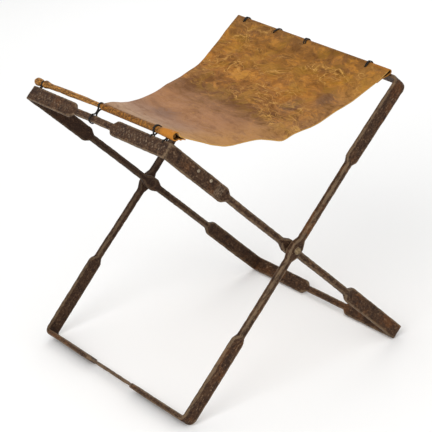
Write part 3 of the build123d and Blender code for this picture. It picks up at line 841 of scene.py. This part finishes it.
def slingRow(settings, share):
    # points across the sling, from the hem under the stick to the hem under the rod, as (point, from the
    # row's start, past the stick's top, short of the rod's top)
    count = settings["columns"]
    yStick, yRod = (between(*settings[key], share) for key in ("stickSpan", "rodSpan"))
    stick = Vector((stickMiddle.x, stickMiddle.z))
    rodPoint = rodAt(yRod)
    pressed = between(settings["rodRollEnd"], settings["rodRoll"], eased(share / settings["pressedShare"]))
    radii = (stickRollRadius(settings, share), pressed)
    stick.y += (radii[0] - settings["stickRoll"]) * 0.5
    rod = Vector((rodPoint.x, rodPoint.z + settings["rodRollLift"] + settings["rodRoll"] - pressed))
    tops = (stick + Vector((0, radii[0])), rod + Vector((0, radii[1])))
    span = tops[1].x - tops[0].x

    nearShare, farShare = settings["roundShares"]

    def heightAt(x):
        s = (x - tops[0].x) / span
        reach = settings["edgeReach"]
        body = curveAt(settings["bodyDrops"], s) * (settings["bodyAtFront"] - settings["bodyLoss"] * share)
        drop = between(curveAt(settings["frontDrops"], s), body, eased(share / reach))
        drop = between(curveAt(settings["backDrops"], s), drop, eased((1 - share) / reach))
        hung = between(tops[0].y, tops[1].y, s) - drop * mm
        # over the rolls the sheet follows their rounds
        for top, radius in zip(tops, radii):
            off = abs(x - top.x)
            if off < radius * farShare:
                roundTop = top.y - radius + (radius**2 - off**2) ** 0.5
                hung = max(hung, roundTop) if off > radius * nearShare else roundTop
        return hung

    def hemPoint(end, hem, share):
        # on the hem by one of the rolls, at a share of its depth
        x = tops[end].x + settings[hem] * share * (1, -1)[end]
        gap = between(2 * radii[end], settings["hemGap"], eased(share / settings["hemReach"][hem]))
        return Vector((x, heightAt(x) - gap))

    def roundPoint(centre, end, degrees):
        turn = radians(degrees)
        return centre + radii[end] * Vector((sin(turn), cos(turn)))

    points = [hemPoint(0, "stickHem", 1 - i / count["stickHem"]) for i in range(count["stickHem"])]
    points += [roundPoint(stick, 0, 180 * i / count["stickRoll"] - 180) for i in range(count["stickRoll"])]
    for i in range(count["middle"] + 1):
        step = i / count["middle"]
        x = tops[0].x + span * (step - settings["crowding"] * sin(2 * pi * step) / (2 * pi))
        points.append(Vector((x, heightAt(x))))
    points += [roundPoint(rod, 1, 180 * i / count["rodRoll"]) for i in range(1, count["rodRoll"] + 1)]
    points += [hemPoint(1, "rodHem", i / count["rodHem"]) for i in range(1, count["rodHem"] + 1)]
    lengths = [0.0]
    for a, b in zip(points, points[1:]):
        lengths.append(lengths[-1] + (b - a).length)
    onStick, onRod = (lengths[column] for column in middleColumns(settings))
    row = []
    for point, length in zip(points, lengths):
        y = between(yStick, yRod, clamped((point.x - tops[0].x) / span))
        place = Vector((point.x, y, point.y))
        row.append((place, length, length - onStick, onRod - length))
    return row


def onSheet(settings, side, y, reach):
    # the sheet's middle surface at a distance from a roll's top, and the way up from it
    key, which, way = ("rodSpan", 3, -1) if side == "outer" else ("stickSpan", 2, 1)
    low, high = settings[key]
    row = slingRow(settings, clamped((y - low) / (high - low)))
    first, last = middleColumns(settings)
    i = min(range(first + 1, last), key=lambda k: abs(row[k][which] - reach))
    run = (row[i + 1][0] - row[i - 1][0]).normalized()
    rise = Vector((-run.z, 0, run.x)).normalized()
    point = row[i][0] + run * (reach - row[i][which]) * way
    return Vector((point.x, y, point.z)), rise


# where the wires pierce the sheet: how far in from the roll, how far along it from where the wire crosses the
# roll, and how far that is from the rail's hole
pierced = {
    "hem_tie_1": (9.0 * mm, -2.5 * mm, -6.0 * mm),
    "hem_tie_2": (8.5 * mm, 4.0 * mm, -3.5 * mm),
    "hem_tie_3": (9.0 * mm, -4.5 * mm, -7.0 * mm),
    "hem_tie_4": (10.0 * mm, -2.0 * mm, -6.0 * mm),
    "stick_tie_3": (8.5 * mm, 0.0, 0.0),
}


def sideOf(node):
    return "inner" if node.startswith("stick") else "outer"


def holePlace(settings, node):
    reach, aside, slant = pierced[node]
    return onSheet(settings, sideOf(node), boxMiddle(node).y + aside + slant, reach)


def slingSheet(settings):
    work = bmesh.new()
    flat = work.loops.layers.uv.new("flat")
    ends = work.loops.layers.uv.new("ends")
    rows = [slingRow(settings, i / (settings["rows"] - 1)) for i in range(settings["rows"])]
    places = {}
    grid = []
    for row in rows:
        verts = [work.verts.new(spot[0]) for spot in row]
        places.update({vert: spot[1:] for vert, spot in zip(verts, row)})
        grid.append(verts)
    for front, back in zip(grid, grid[1:]):
        for i in range(len(front) - 1):
            face = work.faces.new((front[i], front[i + 1], back[i + 1], back[i]))
            for loop in face.loops:
                length, fromStick, fromRod = places[loop.vert]
                loop[flat].uv = (length, loop.vert.co.y)
                loop[ends].uv = (fromStick, fromRod)
    bmesh.ops.recalc_face_normals(work, faces=work.faces)
    first, last = middleColumns(settings)
    middle = grid[len(grid) // 2][(first + last) // 2]
    middle.normal_update()
    if middle.normal.z < 0:
        bmesh.ops.reverse_faces(work, faces=work.faces)
    # soft unevenness, none on the rolls
    work.normal_update()
    height, size, fade = settings["ripple"], settings["rippleSize"], settings["rippleFade"]
    fineSize, fineHeight = settings["fineShare"]
    for verts in grid:
        for i, vert in enumerate(verts):
            inside = eased((i - first) / fade) * eased((last - i) / fade)
            lump = noise.noise(vert.co / size) * height
            lump += noise.noise(vert.co / (size * fineSize)) * height * fineHeight
            vert.co += vert.normal * lump * inside
    # holes for the wires
    holes = [holePlace(settings, node)[0] for node in pierced]
    top = [vert for verts in grid for vert in verts[first:last]]
    gone = [vert for vert in top if min((vert.co - hole).length for hole in holes) < settings["holeRadius"]]
    bmesh.ops.delete(work, geom=gone, context="VERTS")
    mesh = bpy.data.meshes.new("leatherSling")
    work.to_mesh(mesh)
    work.free()
    piece = placed("leatherSling", mesh)
    depths = [place.y for row in rows for place, *_ in row]
    flatSize = (round(max(row[-1][1] for row in rows), 3), round(max(depths) - min(depths), 3))
    return piece, flatSize


def thicken(piece, thickness):
    for name in ("grain", "cut", "flesh"):
        piece.data.materials.append(bpy.data.materials.new(name))
    wall = {"thickness": thickness, "offset": 0.0, "use_even_offset": True}
    piece = modified(piece, "SOLIDIFY", {**wall, "material_offset_rim": 1, "material_offset": 2})
    mesh = piece.data
    for name, index in (("cutEdge", 1), ("fleshSide", 2)):
        attribute = mesh.attributes.new(name, "FLOAT", "FACE")
        attribute.data.foreach_set("value", [float(face.material_index == index) for face in mesh.polygons])
    mesh.polygons.foreach_set("material_index", [0] * len(mesh.polygons))
    mesh.materials.clear()
    mesh.materials.append(materials["leather"])
    mesh.shade_smooth()
    return piece


thinSheet, leatherFlat = slingSheet(sling)
leatherPiece = thicken(thinSheet, sling["thickness"])
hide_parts("seat_leather")
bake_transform(leatherPiece)

# Wire ties

tying = {
    "radius": 1.05 * mm,
    "pitch": 2.1 * mm,
    "pitches": {"hem_tie_1": 3.6 * mm, "hem_tie_3": 4.6 * mm, "hem_tie_4": 3.0 * mm},
    "railEdge": {"bar": 5.5 * mm, "plate": 12.0 * mm},
    "railGap": 2.5 * mm,
    "gathered": 1.1 * mm,
    "hug": 0.25 * mm,
    "kink": 0.3 * mm,
    "kinkScale": 260.0,
    "step": 0.9 * mm,
    "sides": 10,
    "beside": {"bar": 6.45 * mm, "plate": 4.3 * mm},  # from the rail's middle to the wire beside it
    "bottom": {"bar": -7.0 * mm, "plate": 8.6 * mm},  # the loop's, from the rail's middle up
    "roundSteps": 12,
    "laidSteps": 5,
    "spread": {"foot": 0.4, "stem": 0.5, "hole": 0.7},  # shares of the pitch between the two strands
    "turns": {"inner": 150, "outer": 125},  # degrees from the roll's top
    "laidTurn": 45,
    "belowSheet": 5.0 * mm,
    "laidLift": (0.3, 0.8),  # of the wire's radius: how high it lies over the hole, and how much it rises
    "lift": {"inner": 24.4 * mm, "outer": 17.6 * mm},  # from the middle of the rail to the stick or rod
    "onBar": ("stick_tie_2", "hem_tie_3"),
    "looped": {"stick_tie_1": 3.9 * mm, "stick_tie_2": 5.3 * mm, "stick_tie_4": 4.4 * mm},
}


def wireGraph():
    inputs = {name: "NodeSocketFloat" for name in ("radius", "step", "kink", "kinkScale")}
    inputs.update(sides="NodeSocketInt", material="NodeSocketMaterial")
    recipe, given = newGraph("bentWire", inputs)
    node = recipe.node
    sockets = {"Curve": given["Geometry"], "Length": given["step"]}
    line = node("GeometryNodeResampleCurve", {"mode": "LENGTH"}, sockets)
    place = node("GeometryNodeInputPosition", {}, {})
    shake = recipe.wander(place, given["kinkScale"], 2.0, 0.5)
    line = recipe.moved(line, recipe.scaled(shake, given["kink"] * 2.0))
    sockets = {"Resolution": given["sides"], "Radius": given["radius"]}
    profile = node("GeometryNodeCurvePrimitiveCircle", {}, sockets)
    tube = node("GeometryNodeCurveToMesh", {}, {"Curve": line, "Profile Curve": profile, "Fill Caps": True})
    return closeGraph(recipe, tube, given["material"])


bentWire = wireGraph()


def tiePlace(node):
    # the roll's centre, the rail's middle, the frame's directions and the wire's radius round the roll
    side = sideOf(node)
    outward, up = frameDirections(side)
    y = boxMiddle(node).y
    clear = sling["thickness"] / 2 + tying["radius"] + tying["hug"]
    if side == "inner":
        centre = Vector((stickMiddle.x, y, stickMiddle.z + stickDroop(y)))
        low, high = sling["stickSpan"]
        around = stickRollRadius(sling, (y - low) / (high - low)) + clear
    else:
        centre = rodAt(y)
        around = sling["rodRoll"] + clear
    rail = centre - up * tying["lift"][side]
    if side == "outer":
        centre.z += sling["rodRollLift"]
    return centre, rail, outward, up, tying["looped"].get(node, around)


def tieLine(node):
    centre, rail, outward, up, around = tiePlace(node)
    kind = "bar" if node in tying["onBar"] else "plate"
    edge, beside, bottom = (tying[key][kind] for key in ("railEdge", "beside", "bottom"))
    spread, side = tying["spread"], sideOf(node)
    loop = [(rail - outward * beside + up * bottom, spread["foot"])]
    lastTurn, slant = tying["turns"][side], 0.0
    firstTurn = -lastTurn
    stem = []
    if side == "inner":
        # over the rail the strands close up to one stem
        gathered, low = tying["gathered"], edge + tying["railGap"]
        high = tying["lift"]["inner"] - around - tying["railGap"]
        stem = [(beside, edge), (gathered, low), (gathered, max(high, low))]
        loop += [(rail - outward * out + up * height, spread["stem"]) for out, height in stem]
    if node in pierced:
        # up through the hole, over the sheet and round the roll
        reach, aside, slant = pierced[node]
        hole, rise = holePlace(sling, node)
        loop.append((hole - rise * tying["belowSheet"], spread["hole"]))
        steps, (start, more) = tying["laidSteps"], tying["laidLift"]
        for i in range(steps):
            share = i / steps
            spot, rise = onSheet(sling, side, hole.y - aside * share, reach * (1 - share))
            height = sling["thickness"] / 2 + tying["radius"] * (start + more * eased(3 * share))
            loop.append((spot + rise * height, 1.0))
        firstTurn = tying["laidTurn"] * (1 if side == "outer" else -1)
    for i in range(tying["roundSteps"] + 1):
        turn = radians(between(firstTurn, lastTurn, i / tying["roundSteps"]))
        aside = Vector((0, slant, 0))
        loop.append((centre + aside + around * (outward * sin(turn) + up * cos(turn)), 1.0))
    loop += [(rail + outward * out + up * height, spread["stem"]) for out, height in reversed(stem)]
    loop.append((rail + outward * beside + up * bottom, spread["foot"]))
    points = []
    pitch = tying["pitches"].get(node, tying["pitch"])
    for turn in (-0.5, 0.5):
        points += [point + Vector((0, turn * share * pitch, 0)) for point, share in loop]
    curve = bpy.data.curves.new(node, "CURVE")
    curve.dimensions = "3D"
    spline = curve.splines.new("NURBS")
    spline.points.add(len(points) - 1)
    for spot, point in zip(spline.points, points):
        spot.co = (*point, 1.0)
    spline.use_cyclic_u = True
    spline.order_u = 3
    spline.resolution_u = 6
    words = node.split("_")
    return placed(f"{words[0]}Wire{words[-1]}", curve)


for node in [name for name in frame["nodes"] if "_tie_" in name]:
    piece = runGraph(tieLine(node), bentWire, {**tying, "material": materials["wire"]})
    dress(piece, node)
print("stage: ties")

# Floor, light and camera

stageSet = {
    "floorSize": 14.0,
    "floorFinish": {"colour": (0.96, 0.96, 0.955), "roughness": 0.9, "specular": 0.1, "bumps": ()},
    "worldStrength": 0.78,
    "lights": {"key": (34.0, (-1.9, -1.1, 2.0)), "rim": (14.0, (1.6, 1.8, 1.9))},  # as (power, place)
    "lightSize": 1.6,
    "aim": (0.0, 0.0, 0.25),
}


def floorAndLight(settings):
    material, recipe = newMaterial("paleFloor")
    finish = settings["floorFinish"]
    finishMaterial(recipe, finish, {"Base Color": finish["colour"], "Roughness": finish["roughness"]})
    half = settings["floorSize"] / 2
    mesh = bpy.data.meshes.new("floor")
    corners = [(-half, -half, 0), (half, -half, 0), (half, half, 0), (-half, half, 0)]
    mesh.from_pydata(corners, [], [(0, 1, 2, 3)])
    mesh.materials.append(material)
    floor = placed("floor", mesh)
    world = bpy.data.worlds.new("studio")
    bpy.context.scene.world = world
    world.use_nodes = True
    background = world.node_tree.nodes["Background"]
    background.inputs["Color"].default_value = (1.0, 1.0, 1.0, 1.0)
    background.inputs["Strength"].default_value = settings["worldStrength"]
    for name, (power, place) in settings["lights"].items():
        light = bpy.data.lights.new(name, "AREA")
        light.energy = power
        light.size = settings["lightSize"]
        lamp = placed(name, light)
        lamp.location = place
        aim = Vector(settings["aim"]) - lamp.location
        lamp.rotation_euler = aim.to_track_quat("-Z", "Y").to_euler()


cameraView = {
    "azimuth": -34.344,
    "elevation": 22.127,
    "roll": -3.806,
    "distance": 2.680,
    "lens": 131.45,
    "sensor": 36.0,
    "target": (0.0002, 0.00905, 0.2268),
}


def placeCamera(settings):
    azimuth, elevation, roll = (radians(settings[key]) for key in ("azimuth", "elevation", "roll"))
    back = Vector((sin(azimuth) * cos(elevation), -cos(azimuth) * cos(elevation), sin(elevation)))
    level = (-back).cross(Vector((0, 0, 1))).normalized()
    upright = level.cross(-back)
    right = cos(roll) * level + sin(roll) * upright
    up = cos(roll) * upright - sin(roll) * level
    camera = placed("camera", bpy.data.cameras.new("camera"))
    turned = Matrix((right, up, back)).transposed().to_4x4()
    turned.translation = Vector(settings["target"]) + back * settings["distance"]
    camera.matrix_world = turned
    camera.data.lens = settings["lens"]
    camera.data.sensor_width = settings["sensor"]
    bpy.context.scene.camera = camera


floorAndLight(stageSet)
placeCamera(cameraView)
bpy.context.scene.view_settings.view_transform = "Standard"
for marks in (punchMarks, noMarks):
    bpy.data.objects.remove(marks)
print("stage: floor, light and camera")
